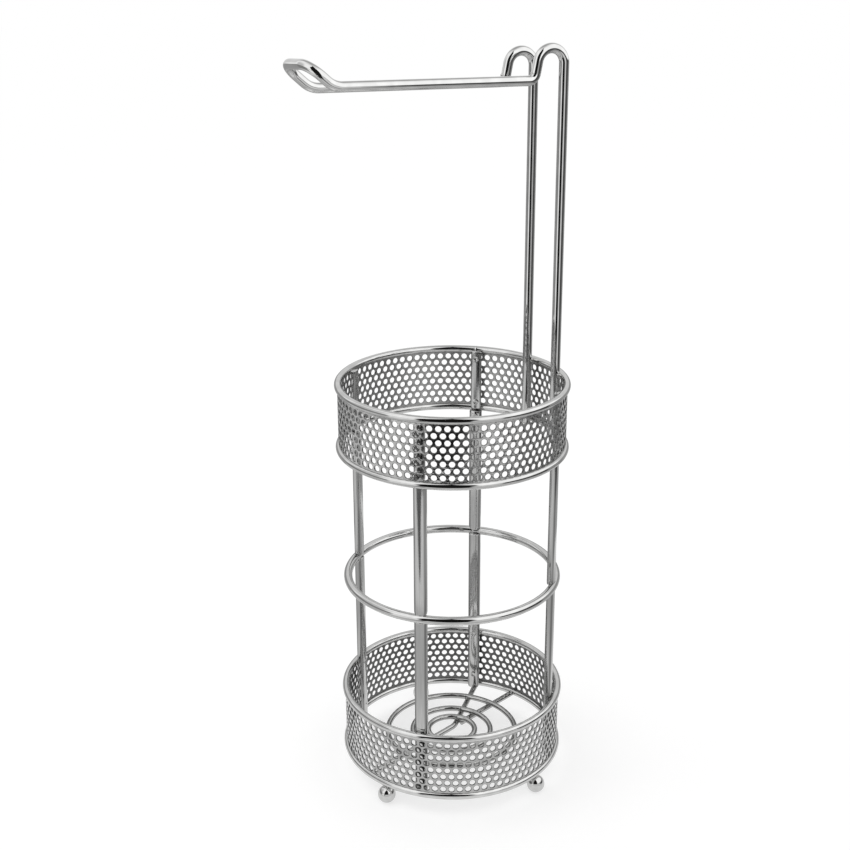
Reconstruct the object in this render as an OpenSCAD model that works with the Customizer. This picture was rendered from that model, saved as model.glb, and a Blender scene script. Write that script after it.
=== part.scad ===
// Free-standing toilet roll holder: two perforated baskets on four uprights, with a roll arm above.
// Origin on the axis of the baskets at floor level, +Z up, millimetres.

/* [Baskets] */
// Outside diameter of the rims and base rings
rim_outer_d = 160.2; // [140:0.2:190]
// Wire diameter of the rims and base rings
ring_wire_d = 5; // [4:0.1:6]
// Height of the lower basket, base ring centre to rim centre
lower_basket_h = 45.85; // [35:0.05:60]
// Height of the upper basket, base ring centre to rim centre
upper_basket_h = 44.45; // [35:0.05:60]
// Height of the waist ring centre above the lower base ring centre
waist_rise = 134.6; // [110:0.1:160]
// Height of the upper base ring centre above the lower base ring centre
upper_base_rise = 232.85; // [200:0.05:270]
// Wire diameter of the waist ring
waist_wire_d = 6; // [5:0.1:7]
// How far the waist ring centreline stands outside the middle of the uprights
waist_offset = 1.5; // [0.5:0.1:2.5]

/* [Perforated bands] */
// Sheet thickness of the bands
band_t = 1; // [0.8:0.1:1.6]
// Diameter of the punched holes
hole_d = 4.1; // [3:0.1:4.4]
// Holes in one row round a band
holes_per_row = 84; // [60:2:84]
// Rows of holes in a band, staggered
hole_rows = 8; // [4:1:8]
// Plain margin between the outer rows of holes and the edges of the band
band_margin = 1; // [0.5:0.1:2]

/* [Uprights] */
// Width of the uprights between and below the baskets
upright_w = 8.9; // [7:0.1:11]
// Thickness of the uprights, measured outwards
upright_t = 5.4; // [4.6:0.1:6]
// Corner rounding of the uprights
upright_corner_r = 1.8; // [1:0.1:2.2]
// Width of the straps that carry on inside the upper basket
strap_w = 7.4; // [6:0.1:9]
// Thickness of the straps
strap_t = 4; // [3:0.1:5]
// Corner rounding of the straps
strap_corner_r = 0.9; // [0.5:0.1:1.2]
// How much each side of a tapered end narrows
taper_in = 1.6; // [0.5:0.1:2.4]
// Height of a tapered end
taper_h = 2.6; // [1:0.1:5]
// Height between a ring centre and the bar end that is welded to it
end_gap = 0.7; // [0.2:0.1:1.5]
// Height between the waist ring centre and the bar ends on each side of it
waist_gap = 1.5; // [1:0.1:2.2]
// Angle round the axis of the front upright
front_az = -89.4; // [-94:0.1:-86]
// Angle round the axis of the right upright
right_az = 0; // [-4:0.1:4]
// Angle round the axis of the back upright
back_az = 93.2; // [86:0.1:96]
// Angle round the axis of the left upright
left_az = 176.2; // [172:0.1:184]

/* [Hanger] */
// Wire diameter of the hanger rods and of the arm
hanger_wire_d = 6.5; // [5.5:0.1:7]
// Angle round the axis of the plane midway between the two rods
hanger_az = 43.5; // [41:0.1:45]
// Distance between the two rods, centre to centre
hanger_spacing = 39; // [34:0.5:42]
// Height of the arch centre of the near hook above the lower base ring centre
arch_rise = 485.9; // [440:0.1:520]
// How much lower the far hook and arm sit
far_drop = 4.5; // [0:0.1:6]
// Centreline radius of the arch at the top of each rod
arch_r = 9.6; // [8:0.1:12]
// Outward lean of the front leg of each hook
leg_lean = 11.3; // [5:0.1:15]
// Depth of the arm's foot corner below the arch centre
foot_depth = 9.9; // [9:0.05:15]
// Centreline radius of the foot bend
foot_bend_r = 5.4; // [4.6:0.1:8]
// Length of the arm from its foot corner to the start of the tip bend
arm_len = 130.2; // [100:0.1:150]
// Upward slope of the arm
arm_slope = 1.3; // [0:0.1:4]
// Centreline radius of the tip bend
tip_bend_r = 15; // [9:0.1:20]
// Angle that the tip turns up from the arm
tip_turn = 40.3; // [25:0.1:50]
// Straight length of the tip before the end loop
tip_len = 4.8; // [4:0.05:20]
// Centreline radius of the two corners of the end loop
loop_corner_r = 11.5; // [6:0.1:14]

/* [Floor grid] */
// Wire diameter of the floor grid
grid_wire_d = 4.2; // [3.5:0.1:4.4]
// Centreline radius of the inner floor ring
inner_grid_r = 17.2; // [14:0.1:20]
// Centreline radius of the middle floor ring
middle_grid_r = 28.9; // [26:0.1:34]
// Centreline radius of the outer floor ring
outer_grid_r = 47.4; // [42:0.1:54]
// Where the bent stay leaves the back upright, as an angle round the axis
bent_stay_az = 92; // [88:0.1:96]
// Sideways place of the bend in the bent stay
bend_x = -1.3; // [-3:0.1:1]
// Front-to-back place of the bend in the bent stay
bend_y = 11.5; // [8:0.1:14]
// Where the bent stay meets the base ring again
bent_stay_end_az = 239.1; // [236:0.1:242]
// Centreline radius of the bend in the bent stay
stay_bend_r = 14; // [8:1:24]
// Where the short stay leaves the base ring
short_stay_az = 68.3; // [66:0.1:71]
// Where the short stay ends, under the inner floor ring
short_stay_end_az = 83; // [76:0.5:90]

/* [Feet] */
// Diameter of the ball feet
foot_d = 12.7; // [10:0.1:15]
// Depth of the flat that each ball rests on
foot_flat = 0.25; // [0.1:0.05:0.5]
// Angle round the axis of the foot at the front left
front_foot_az = -109; // [-114:0.5:-102]
// Angle round the axis of the foot at the right
right_foot_az = -22; // [-28:0.5:-12]
// Angle round the axis of the foot at the back
back_foot_az = 125.5; // [110:0.5:140]

/* [Hidden] */
$fn = 96;
// Segments of the small round corners of flat bars
corner_steps = 4;
// Segments of a punched hole
hole_steps = 24;
// Overshoot of cutting tools
cut = 1;
// Air left between a butted wire end and the piece that it is welded to
seat_air = 0.1;
// Radial swell where two lengths of one wire meet
knuckle_swell = 0.08;
// Length of the collar where the bend of the bent stay meets its straight lengths
collar_len = 1.2;

// Radii
ring_r = (rim_outer_d - ring_wire_d) / 2;
rim_inner_r = ring_r - ring_wire_d / 2;
upright_r = rim_inner_r - upright_t / 2;
waist_r = upright_r + waist_offset;
band_outer_r = ring_r + band_t / 2;
band_inner_r = ring_r - band_t / 2;

// Heights above the floor
foot_z = foot_d / 2 - foot_flat;
lower_base_z = foot_z + (foot_d + ring_wire_d) / 2;
lower_rim_z = lower_base_z + lower_basket_h;
waist_z = lower_base_z + waist_rise;
upper_base_z = lower_base_z + upper_base_rise;
upper_rim_z = upper_base_z + upper_basket_h;
stay_z = lower_base_z;
grid_z = stay_z + grid_wire_d;

// Hanger: u runs from the rods along the arm, v across it towards the near side
rod_r = rim_inner_r - hanger_wire_d / 2;
half_spacing = hanger_spacing / 2;
rod_u = -sqrt(rod_r * rod_r - half_spacing * half_spacing);
near_arch_z = lower_base_z + arch_rise;
far_arch_z = near_arch_z - far_drop;
rod_bottom_z = upper_base_z - ring_wire_d / 2;
arch_turn = 180 - leg_lean;
leg_top_u = arch_r * (1 + cos(leg_lean));
leg_top_dz = arch_r * sin(leg_lean);
leg_to_corner = (leg_top_dz + foot_depth) / cos(leg_lean);
foot_turn = 90 - leg_lean + arm_slope;
foot_tangent = foot_bend_r * tan(foot_turn / 2);
leg_len = leg_to_corner - foot_tangent;
foot_start_u = leg_top_u + sin(leg_lean) * leg_len;
foot_start_dz = leg_top_dz - cos(leg_lean) * leg_len;
foot_centre_u = foot_start_u + cos(leg_lean) * foot_bend_r;
foot_centre_dz = foot_start_dz + sin(leg_lean) * foot_bend_r;
arm_start_u = foot_centre_u + foot_bend_r * sin(arm_slope);
arm_start_dz = foot_centre_dz - foot_bend_r * cos(arm_slope);
arm_run = arm_len - foot_tangent;
arm_end_u = arm_start_u + arm_run * cos(arm_slope);
arm_end_dz = arm_start_dz + arm_run * sin(arm_slope);
tip_centre_u = arm_end_u - tip_bend_r * sin(arm_slope);
tip_centre_dz = arm_end_dz + tip_bend_r * cos(arm_slope);
tip_rise = arm_slope + tip_turn;
tip_start_u = tip_centre_u + tip_bend_r * sin(tip_rise);
tip_start_dz = tip_centre_dz - tip_bend_r * cos(tip_rise);
// The tips differ in length so that the loop lies square across them
tip_trim = far_drop * sin(tip_rise) / 2;
near_tip_len = tip_len - tip_trim;
far_tip_len = tip_len + tip_trim;
loop_rise = far_drop * cos(tip_rise);
loop_w = sqrt(hanger_spacing * hanger_spacing + loop_rise * loop_rise);
loop_roll = atan2(loop_rise, hanger_spacing);

// Stays
stay_end_r = rim_inner_r - seat_air;
bent_start = (stay_end_r - upright_t) * [cos(bent_stay_az), sin(bent_stay_az)];
bent_end = stay_end_r * [cos(bent_stay_end_az), sin(bent_stay_end_az)];
bent_corner = [bend_x, bend_y];
short_start = stay_end_r * [cos(short_stay_az), sin(short_stay_az)];
short_end = inner_grid_r * [cos(short_stay_end_az), sin(short_stay_end_az)];

// Perforation
function band_h(basket_h) = basket_h - ring_wire_d;
function row_pitch(basket_h) = (band_h(basket_h) - 2 * band_margin - hole_d) / (hole_rows - 1);
// Direction of a plan vector
function heading(v) = atan2(v[1], v[0]);

// ---- shapes that repeat ----

module wire_ring(r, wire_d, z) {
  translate([0, 0, z])
    rotate_extrude()
      translate([r, 0])
        circle(d = wire_d);
}

// Rectangle with corners rounded by short arcs, centred
function rounded_rect(a, b, r) = [
  for (q = [0:3])
    let (sx = (q == 0 || q == 3) ? 1 : -1)
    let (sy = (q < 2) ? 1 : -1)
    for (k = [0:corner_steps])
      let (phi = 90 * q + 90 * k / corner_steps)
      [sx * (a / 2 - r) + r * cos(phi), sy * (b / 2 - r) + r * sin(phi)]
];

// Side outline of a bar, its lower end tapered if taper is true
function bar_outline(w, z_low, z_high, taper) =
  let (in = taper ? taper_in : 0)
  let (up = taper ? taper_h : 0)
  [[-w / 2, z_high], [-w / 2, z_low + up], [-w / 2 + in, z_low],
   [w / 2 - in, z_low], [w / 2, z_low + up], [w / 2, z_high]];

// Flat bar with rounded corners standing against the inside of the rings
module flat_bar(az, z_low, z_high, w, t, corner_r, taper) {
  rotate(az)
    translate([rim_inner_r - t / 2, 0, 0])
      intersection() {
        translate([0, 0, z_low])
          linear_extrude(z_high - z_low)
            polygon(rounded_rect(t, w, corner_r));
        translate([-t, 0, 0])
          rotate([90, 0, 90])
            linear_extrude(2 * t)
              polygon(bar_outline(w, z_low, z_high, taper));
      }
}

module strap(az) {
  flat_bar(az, upper_base_z + end_gap, upper_rim_z, strap_w, strap_t, strap_corner_r, true);
}

// The waist ring notches the bars that are welded to it
module waist_notch() {
  wire_ring(waist_r, waist_wire_d, waist_z);
}

module middle_bar(az) {
  difference() {
    flat_bar(az, waist_z + waist_gap, upper_base_z - end_gap,
             upright_w, upright_t, upright_corner_r, false);
    waist_notch();
  }
}

module lower_bar(az) {
  difference() {
    flat_bar(az, lower_base_z - end_gap, waist_z - waist_gap,
             upright_w, upright_t, upright_corner_r, true);
    waist_notch();
  }
}

module perforated_band(z_low, basket_h) {
  h = band_h(basket_h);
  pitch = row_pitch(basket_h);
  first_z = band_margin + hole_d / 2;
  translate([0, 0, z_low + ring_wire_d / 2])
    difference() {
      cylinder(r = band_outer_r, h = h);
      translate([0, 0, -cut])
        cylinder(r = band_inner_r, h = h + 2 * cut);
      for (row = [0:hole_rows - 1])
        for (k = [0:holes_per_row - 1])
          rotate((k + (row % 2) / 2) * 360 / holes_per_row)
            translate([band_inner_r - cut, 0, first_z + row * pitch])
              rotate([0, 90, 0])
                cylinder(d = hole_d, h = band_t + 2 * cut, $fn = hole_steps);
    }
}

// Round wire between two points of the plan
module plan_wire(p, q, z) {
  translate([p[0], p[1], z])
    rotate([0, 90, heading(q - p)])
      cylinder(d = grid_wire_d, h = norm(q - p));
}

// Slight swell round the joint of two lengths of plan wire
module plan_collar(p, dir) {
  translate([p[0], p[1], stay_z])
    rotate([0, 90, dir])
      cylinder(d = grid_wire_d + 2 * knuckle_swell, h = collar_len, center = true);
}

// Frame of the hanger: x along the arm, y towards the near side, z up
module in_hanger_frame() {
  rotate(hanger_az + 180)
    translate([rod_u, 0, 0])
      children();
}

// Slight swell that joins two lengths of one wire into one solid
module knuckle(wire_d) {
  sphere(d = wire_d + 2 * knuckle_swell);
}

// Straight wire in the plane of a hook, from (u, z) along a rise above the arm direction
module hook_wire(u, z, rise, len) {
  translate([u, 0, z])
    rotate([0, 90 - rise, 0]) {
      cylinder(d = hanger_wire_d, h = len);
      knuckle(hanger_wire_d);
      translate([0, 0, len])
        knuckle(hanger_wire_d);
    }
}

// Bend in the plane of a hook, about (u, z), between two angles above the arm direction
module hook_bend(u, z, bend_r, from, turn) {
  translate([u, 0, z])
    rotate([90, 0, 0])
      rotate(from)
        rotate_extrude(angle = turn)
          translate([bend_r, 0])
            circle(d = hanger_wire_d);
}

// Upright rod with its arch and the top of the front leg
module hook_rod(side, arch_z) {
  in_hanger_frame()
    translate([0, side * half_spacing, 0]) {
      translate([0, 0, rod_bottom_z])
        cylinder(d = hanger_wire_d, h = arch_z - rod_bottom_z);
      translate([0, 0, arch_z])
        knuckle(hanger_wire_d);
      hook_bend(arch_r, arch_z, arch_r, leg_lean, arch_turn);
      translate([leg_top_u, 0, arch_z + leg_top_dz])
        knuckle(hanger_wire_d);
      translate([leg_top_u, 0, arch_z + leg_top_dz])
        rotate([0, 180 - leg_lean, 0])
          cylinder(d = hanger_wire_d, h = leg_len);
    }
}

// One side of the arm: foot bend, straight run, tip bend and tip
module arm_side(side, arch_z, straight_tip) {
  translate([0, side * half_spacing, arch_z]) {
    hook_bend(foot_centre_u, foot_centre_dz, foot_bend_r, 180 + leg_lean, foot_turn);
    hook_wire(arm_start_u, arm_start_dz, arm_slope, arm_run);
    hook_bend(tip_centre_u, tip_centre_dz, tip_bend_r, 270 + arm_slope, tip_turn);
    hook_wire(tip_start_u, tip_start_dz, tip_rise, straight_tip);
  }
}

// Corner of the end loop, drawn in the plane of the loop
module loop_corner(y, from) {
  translate([0, y, 0])
    rotate(from)
      rotate_extrude(angle = 90)
        translate([loop_corner_r, 0])
          circle(d = hanger_wire_d);
}

// End loop, from the far tip across to the near tip
module end_loop() {
  translate([tip_start_u + far_tip_len * cos(tip_rise), -half_spacing,
             far_arch_z + tip_start_dz + far_tip_len * sin(tip_rise)])
    rotate([0, -tip_rise, 0])
      rotate([loop_roll, 0, 0]) {
        loop_corner(loop_corner_r, -90);
        translate([loop_corner_r, loop_corner_r, 0])
          rotate([-90, 0, 0]) {
            cylinder(d = hanger_wire_d, h = loop_w - 2 * loop_corner_r);
            knuckle(hanger_wire_d);
            translate([0, 0, loop_w - 2 * loop_corner_r])
              knuckle(hanger_wire_d);
          }
        loop_corner(loop_w - loop_corner_r, 0);
      }
}

// Ball foot with a small flat underneath
module ball_foot(az) {
  rotate(az)
    translate([ring_r, 0, foot_z])
      difference() {
        sphere(d = foot_d);
        translate([-foot_d, -foot_d, -foot_z - foot_d])
          cube([2 * foot_d, 2 * foot_d, foot_d]);
      }
}

// ---- sub-parts ----

module upper_rim() {
  color("silver") wire_ring(ring_r, ring_wire_d, upper_rim_z);
}

module upper_base_ring() {
  color("silver") wire_ring(ring_r, ring_wire_d, upper_base_z);
}

module upper_band() {
  color("darkgray") perforated_band(upper_base_z, upper_basket_h);
}

module waist_ring() {
  color("silver") wire_ring(waist_r, waist_wire_d, waist_z);
}

module lower_rim() {
  color("silver") wire_ring(ring_r, ring_wire_d, lower_rim_z);
}

module lower_base_ring() {
  color("silver") wire_ring(ring_r, ring_wire_d, lower_base_z);
}

module lower_band() {
  color("darkgray") perforated_band(lower_base_z, lower_basket_h);
}

module front_strap() {
  color("lightgray") strap(front_az);
}

module right_strap() {
  color("lightgray") strap(right_az);
}

module back_strap() {
  color("lightgray") strap(back_az);
}

module left_strap() {
  color("lightgray") strap(left_az);
}

module front_middle_bar() {
  color("lightgray") middle_bar(front_az);
}

module right_middle_bar() {
  color("lightgray") middle_bar(right_az);
}

module back_middle_bar() {
  color("lightgray") middle_bar(back_az);
}

module left_middle_bar() {
  color("lightgray") middle_bar(left_az);
}

module front_lower_bar() {
  color("lightgray") lower_bar(front_az);
}

module right_lower_bar() {
  color("lightgray") lower_bar(right_az);
}

module back_lower_bar() {
  color("lightgray") lower_bar(back_az);
}

module left_lower_bar() {
  color("lightgray") lower_bar(left_az);
}

module near_hook_rod() {
  color("silver") hook_rod(1, near_arch_z);
}

module far_hook_rod() {
  color("silver") hook_rod(-1, far_arch_z);
}

module roll_arm() {
  color("silver")
    in_hanger_frame() {
      arm_side(1, near_arch_z, near_tip_len);
      arm_side(-1, far_arch_z, far_tip_len);
      end_loop();
    }
}

module inner_floor_ring() {
  color("silver") wire_ring(inner_grid_r, grid_wire_d, grid_z);
}

module middle_floor_ring() {
  color("silver") wire_ring(middle_grid_r, grid_wire_d, grid_z);
}

module outer_floor_ring() {
  color("silver") wire_ring(outer_grid_r, grid_wire_d, grid_z);
}

module bent_stay() {
  in_dir = heading(bent_corner - bent_start);
  out_dir = heading(bent_end - bent_corner);
  turn = in_dir - out_dir - 360 * floor((in_dir - out_dir + 180) / 360);
  tangent = stay_bend_r * tan(turn / 2);
  bend_from = bent_corner - tangent * [cos(in_dir), sin(in_dir)];
  bend_to = bent_corner + tangent * [cos(out_dir), sin(out_dir)];
  bend_centre = bend_from + stay_bend_r * [sin(in_dir), -cos(in_dir)];
  color("silver") {
    plan_wire(bent_start, bend_from, stay_z);
    plan_collar(bend_from, in_dir);
    plan_collar(bend_to, out_dir);
    translate([bend_centre[0], bend_centre[1], stay_z])
      rotate(out_dir + 90)
        rotate_extrude(angle = turn)
          translate([stay_bend_r, 0])
            circle(d = grid_wire_d);
    plan_wire(bend_to, bent_end, stay_z);
  }
}

module short_stay() {
  color("silver") plan_wire(short_start, short_end, stay_z);
}

module front_foot() {
  color("silver") ball_foot(front_foot_az);
}

module right_foot() {
  color("silver") ball_foot(right_foot_az);
}

module back_foot() {
  color("silver") ball_foot(back_foot_az);
}

upper_rim();
upper_base_ring();
upper_band();
waist_ring();
lower_rim();
lower_base_ring();
lower_band();
front_strap();
right_strap();
back_strap();
left_strap();
front_middle_bar();
right_middle_bar();
back_middle_bar();
left_middle_bar();
front_lower_bar();
right_lower_bar();
back_lower_bar();
left_lower_bar();
near_hook_rod();
far_hook_rod();
roll_arm();
inner_floor_ring();
middle_floor_ring();
outer_floor_ring();
bent_stay();
short_stay();
front_foot();
right_foot();
back_foot();
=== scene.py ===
from math import asin, atan2, cos, degrees, exp, pi, radians, sin, sqrt, tan

import bmesh
import bpy
import numpy as np
from bpy.props import FloatProperty, FloatVectorProperty, IntProperty, PointerProperty
from mathutils import Matrix, Vector, noise


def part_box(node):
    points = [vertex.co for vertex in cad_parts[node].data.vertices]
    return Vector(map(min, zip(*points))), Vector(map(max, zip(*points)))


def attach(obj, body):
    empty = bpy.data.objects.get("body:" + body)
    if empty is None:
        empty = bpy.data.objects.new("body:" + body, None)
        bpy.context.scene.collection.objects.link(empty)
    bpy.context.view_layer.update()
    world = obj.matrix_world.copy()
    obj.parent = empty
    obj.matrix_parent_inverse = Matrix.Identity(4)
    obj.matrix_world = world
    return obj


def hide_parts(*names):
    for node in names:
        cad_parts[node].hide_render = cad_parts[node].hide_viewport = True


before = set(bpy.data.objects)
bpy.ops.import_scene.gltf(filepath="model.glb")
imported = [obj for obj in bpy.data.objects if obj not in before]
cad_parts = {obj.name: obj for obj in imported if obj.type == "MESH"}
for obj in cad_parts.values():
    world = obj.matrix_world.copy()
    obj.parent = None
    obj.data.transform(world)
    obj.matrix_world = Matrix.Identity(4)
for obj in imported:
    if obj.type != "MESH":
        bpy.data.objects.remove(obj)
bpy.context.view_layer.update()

bl_info = {
    "name": "Toilet roll storage holder",
    "version": (1, 0, 0),
    "blender": (4, 5, 0),
    "location": "View3D > Sidebar > Roll holder",
    "description": "Builds the polished wire holder around its frame, with its studio",
    "category": "Object",
}

MM = 0.001
QUARTER = pi / 2  # of a turn
DIMPLE_REACH = 1.7  # how far a dimple's raised rim goes, in its radii
BODY = "root"
UP = Vector((0, 0, 1))
RINGS = ("upper_rim", "upper_base_ring", "waist_ring", "lower_rim", "lower_base_ring")
FLOOR_RINGS = ("inner_floor_ring", "middle_floor_ring", "outer_floor_ring")
FEET = ("front_foot", "right_foot", "back_foot")


# ---- what the frame says ----

def low(node):
    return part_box(node)[0]


def high(node):
    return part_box(node)[1]


def middle(node):
    return (low(node) + high(node)) / 2


def extent(node):
    return high(node) - low(node)


def ring_of(node):
    """Centreline radius, wire diameter and height of a ring."""
    wire = extent(node).z
    return (extent(node).x - wire) / 2, wire, middle(node).z


RIM_R, RIM_WIRE, UPPER_RIM_Z = ring_of("upper_rim")
RIM_INNER_R = RIM_R - RIM_WIRE / 2
UPPER_BASE_Z, LOWER_RIM_Z, LOWER_BASE_Z = (
    middle(node).z for node in ("upper_base_ring", "lower_rim", "lower_base_ring"))
WAIST_WIRE, WAIST_Z = ring_of("waist_ring")[1:]
GRID_WIRE = extent("inner_floor_ring").z
STAY_Z = middle("bent_stay").z
BALL_D = extent("front_foot").x


# ---- sizes and colours that a user would change ----

def number(name, description, default, least, most):
    return IntProperty(name=name, description=description, default=default, min=least, max=most)


def length(name, description, mm, least=0, most=1000):
    return FloatProperty(name=name, description=description, default=mm * MM,
                         min=least * MM, max=most * MM, unit="LENGTH", subtype="DISTANCE")


def turn(name, description, degrees):
    return FloatProperty(name=name, description=description, default=radians(degrees),
                         subtype="ANGLE")


def share(name, description, default, most=1.0):
    return FloatProperty(name=name, description=description, default=default,
                         min=0.0, max=most, subtype="FACTOR")


def colour(name, description, *rgb):
    return FloatVectorProperty(name=name, description=description, default=rgb,
                               subtype="COLOR", size=3, min=0.0, max=1.0)


class RingSizes(bpy.types.PropertyGroup):
    """Rims, base rings and waist ring"""
    steps: number("Steps", "Lengths of wire round a ring", 288, 48, 720)
    sides: number("Sides", "Sides of the wire's section", 24, 8, 64)
    seam_az: turn("Seam angle", "Where the ends of a ring's wire meet", 93.9)
    seam_len: length("Seam length", "Length of the weld seam along the wire", 0.9)
    seam_swell: length("Seam swell", "Height of the dressed weld seam", 0.11)
    floor_swell: share("Floor seam", "Share of that swell on the floor rings", 0.35)


class BandSizes(bpy.types.PropertyGroup):
    """Perforated bands of the two baskets"""
    sheet: length("Sheet", "Thickness of the sheet", 1.0)
    hole: length("Hole", "Diameter of a punched hole", 4.1)
    columns: number("Holes in a row", "Holes round a band", 84, 24, 120)
    rows: number("Rows", "Staggered rows of holes", 8, 2, 12)
    margin: length("Margin", "Plain margin above and below the holes", 1.0)
    edge: length("Edge", "Rounding of a hole's edge", 0.15)
    segments: number("Segments", "Segments of a hole, a multiple of eight", 24, 8, 48)


class BarSizes(bpy.types.PropertyGroup):
    """Flat bars between the rings and straps inside the upper basket"""
    width: length("Width", "Width of a bar", 8.9)
    thickness: length("Thickness", "Thickness of a bar", 5.4)
    corner: length("Corner", "Corner rounding of a bar", 1.8)
    crown: length("Crown", "How far the faces fall away to their edges", 0.6)
    strap_width: length("Strap width", "Width of a strap", 7.4)
    strap_thickness: length("Strap thickness", "Thickness of a strap", 4.0)
    strap_corner: length("Strap corner", "Corner rounding of a strap", 0.9)
    taper_in: length("Taper", "How much each side of a middle bar's lower end narrows", 2.6)
    slight_taper: length("Slight taper", "The same for a strap or a lower bar", 0.8)
    taper_len: length("Taper height", "Height over which a lower end narrows", 4.0)
    end_edge: length("End edge", "Rounding of the edge of a bar's end", 0.5)
    dimple_r: length("Dimple radius", "Radius of a spot weld's dimple", 1.25)
    dimple_depth: length("Dimple depth", "Depth of a spot weld's dimple", 0.42)
    strap_dimple: length("Strap dimples", "From each end of a strap to its dimple", 5.0)
    middle_dimple: length("Middle dimple", "From a middle bar's top to its dimple", 4.0)
    rim_dimple: length("Rim dimple", "From the lower rim up to a dimple", 1.3)
    base_dimple: length("Base dimple", "From the lower base ring up to a dimple", 10.9)
    front_az: turn("Front angle", "Angle of the front upright", -89.4)
    right_az: turn("Right angle", "Angle of the right upright", 0.0)
    back_az: turn("Back angle", "Angle of the back upright", 93.2)
    left_az: turn("Left angle", "Angle of the left upright", 176.2)


class HangerSizes(bpy.types.PropertyGroup):
    """Two hook rods and the arm that joins them"""
    wire: length("Wire", "Wire diameter of the rods and the arm", 6.5)
    az: turn("Plane angle", "Angle of the plane midway between the rods", 43.5)
    spacing: length("Spacing", "Distance between the rods", 39.0)
    far_drop: length("Far drop", "How much lower the far hook sits", 4.5)
    arch_r: length("Arch radius", "Centreline radius of the arch", 9.6)
    leg_lean: turn("Leg lean", "Outward lean of the hook's front leg", 11.3)
    leg_edge: length("Leg edge", "Rounding of the edge of a rod's lower end", 0.6)
    foot_depth: length("Foot depth", "From the arch centre down to the arm's foot corner", 9.9)
    foot_bend_r: length("Foot bend", "Centreline radius of the foot bend", 5.4)
    arm_len: length("Arm length", "From the foot corner to the start of the tip bend", 130.2)
    arm_slope: turn("Arm slope", "Upward slope of the arm", 1.3)
    tip_bend_r: length("Tip bend", "Centreline radius of the tip bend", 15.0)
    tip_turn: turn("Tip turn", "How far the tip turns up", 40.3)
    tip_len: length("Tip length", "Straight length of the tip", 4.8)
    loop_corner_r: length("Loop corner", "Centreline radius of the end loop's corners", 11.5)


class GridSizes(bpy.types.PropertyGroup):
    """Wire floor of the lower basket"""
    bent_start_az: turn("Bent stay start", "Where the bent stay leaves the back upright", 92.0)
    bent_end_az: turn("Bent stay end", "Where the bent stay meets the base ring again", 239.1)
    bend_x: length("Bend across", "Sideways place of the bend", -1.3, -100)
    bend_y: length("Bend along", "Front-to-back place of the bend", 11.5, -100)
    bend_r: length("Bend radius", "Centreline radius of the bend", 14.0)
    short_start_az: turn("Short stay start", "Where the short stay leaves the base ring", 68.3)
    short_end_az: turn("Short stay end", "Where the short stay ends", 83.0)
    end_edge: length("End edge", "Rounding of the edge of a stay's end", 0.4)


class FootSizes(bpy.types.PropertyGroup):
    """Ball feet"""
    steps: number("Steps", "Rings of faces on a ball", 40, 12, 96)
    neck: length("Neck", "Radius of the weld between a ball and its ring", 2.0)


class FinishColours(bpy.types.PropertyGroup):
    """Polished, brushed and punched metal"""
    wire: colour("Wire", "Colour of the polished rods", 0.64, 0.64, 0.635)
    ring: colour("Ring", "Colour of the polished rings", 0.60, 0.60, 0.595)
    grid: colour("Floor grid", "Colour of the dull floor wires", 0.45, 0.45, 0.445)
    bar: colour("Bar", "Colour of the drawn flat bar", 0.60, 0.60, 0.595)
    sheet: colour("Sheet", "Colour of the punched sheet", 0.56, 0.56, 0.555)
    ball: colour("Ball", "Colour of the ball feet", 0.58, 0.58, 0.575)
    weld: colour("Weld", "Colour of the plated weld beads", 0.56, 0.555, 0.545)


class StudioSettings(bpy.types.PropertyGroup):
    """Table, light tent and soft light"""
    table_r: length("Table radius", "Radius of the pale table", 372)
    lip_h: length("Lip height", "Height of the pale lip round the table", 120)
    dome_r: length("Dome radius", "Radius of the softbox dome", 1250, 0, 4000)
    surround: colour("Surround", "Colour of floor and background", 1.0, 1.0, 1.0)
    soft_light: share("Soft light", "Strength of the plain light from all round", 0.85, 2.0)


# ---- shader expressions ----

def maths(operation, swapped=False):
    """A method that adds a Math node, with this value first, or last where it is swapped."""
    def method(self, *other):
        values = (*other, self) if swapped else (self, *other)
        return self.maker.add("ShaderNodeMath", {"operation": operation},
                              dict(enumerate(values)))
    return method


class Value:
    """One output of a node, which takes part in plain arithmetic."""
    __add__ = __radd__ = maths("ADD")
    __sub__, __rsub__ = maths("SUBTRACT"), maths("SUBTRACT", True)
    __mul__ = __rmul__ = maths("MULTIPLY")
    __pow__, __rpow__ = maths("POWER"), maths("POWER", True)
    __abs__ = maths("ABSOLUTE")
    at_most, at_least = maths("MINIMUM"), maths("MAXIMUM")
    angle_of = maths("ARCTAN2")  # its sine runs with this value, its cosine with the other

    def __init__(self, maker, socket):
        self.maker = maker
        self.socket = socket

    def out(self, name):
        """Another output of the same node."""
        return Value(self.maker, self.socket.node.outputs[name])

    def rise(self, start, end):
        """0 before start, 1 after end, and smooth between them."""
        return self.maker.add("ShaderNodeMapRange", {"interpolation_type": "SMOOTHSTEP"},
                              {"Value": self, "From Min": start, "From Max": end}, "Result")

    def between(self, start, end, soft=3.0):
        """1 from start to end, and 0 outside."""
        return self.rise(start - soft, start + soft) * (1 - self.rise(end - soft, end + soft))


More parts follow.
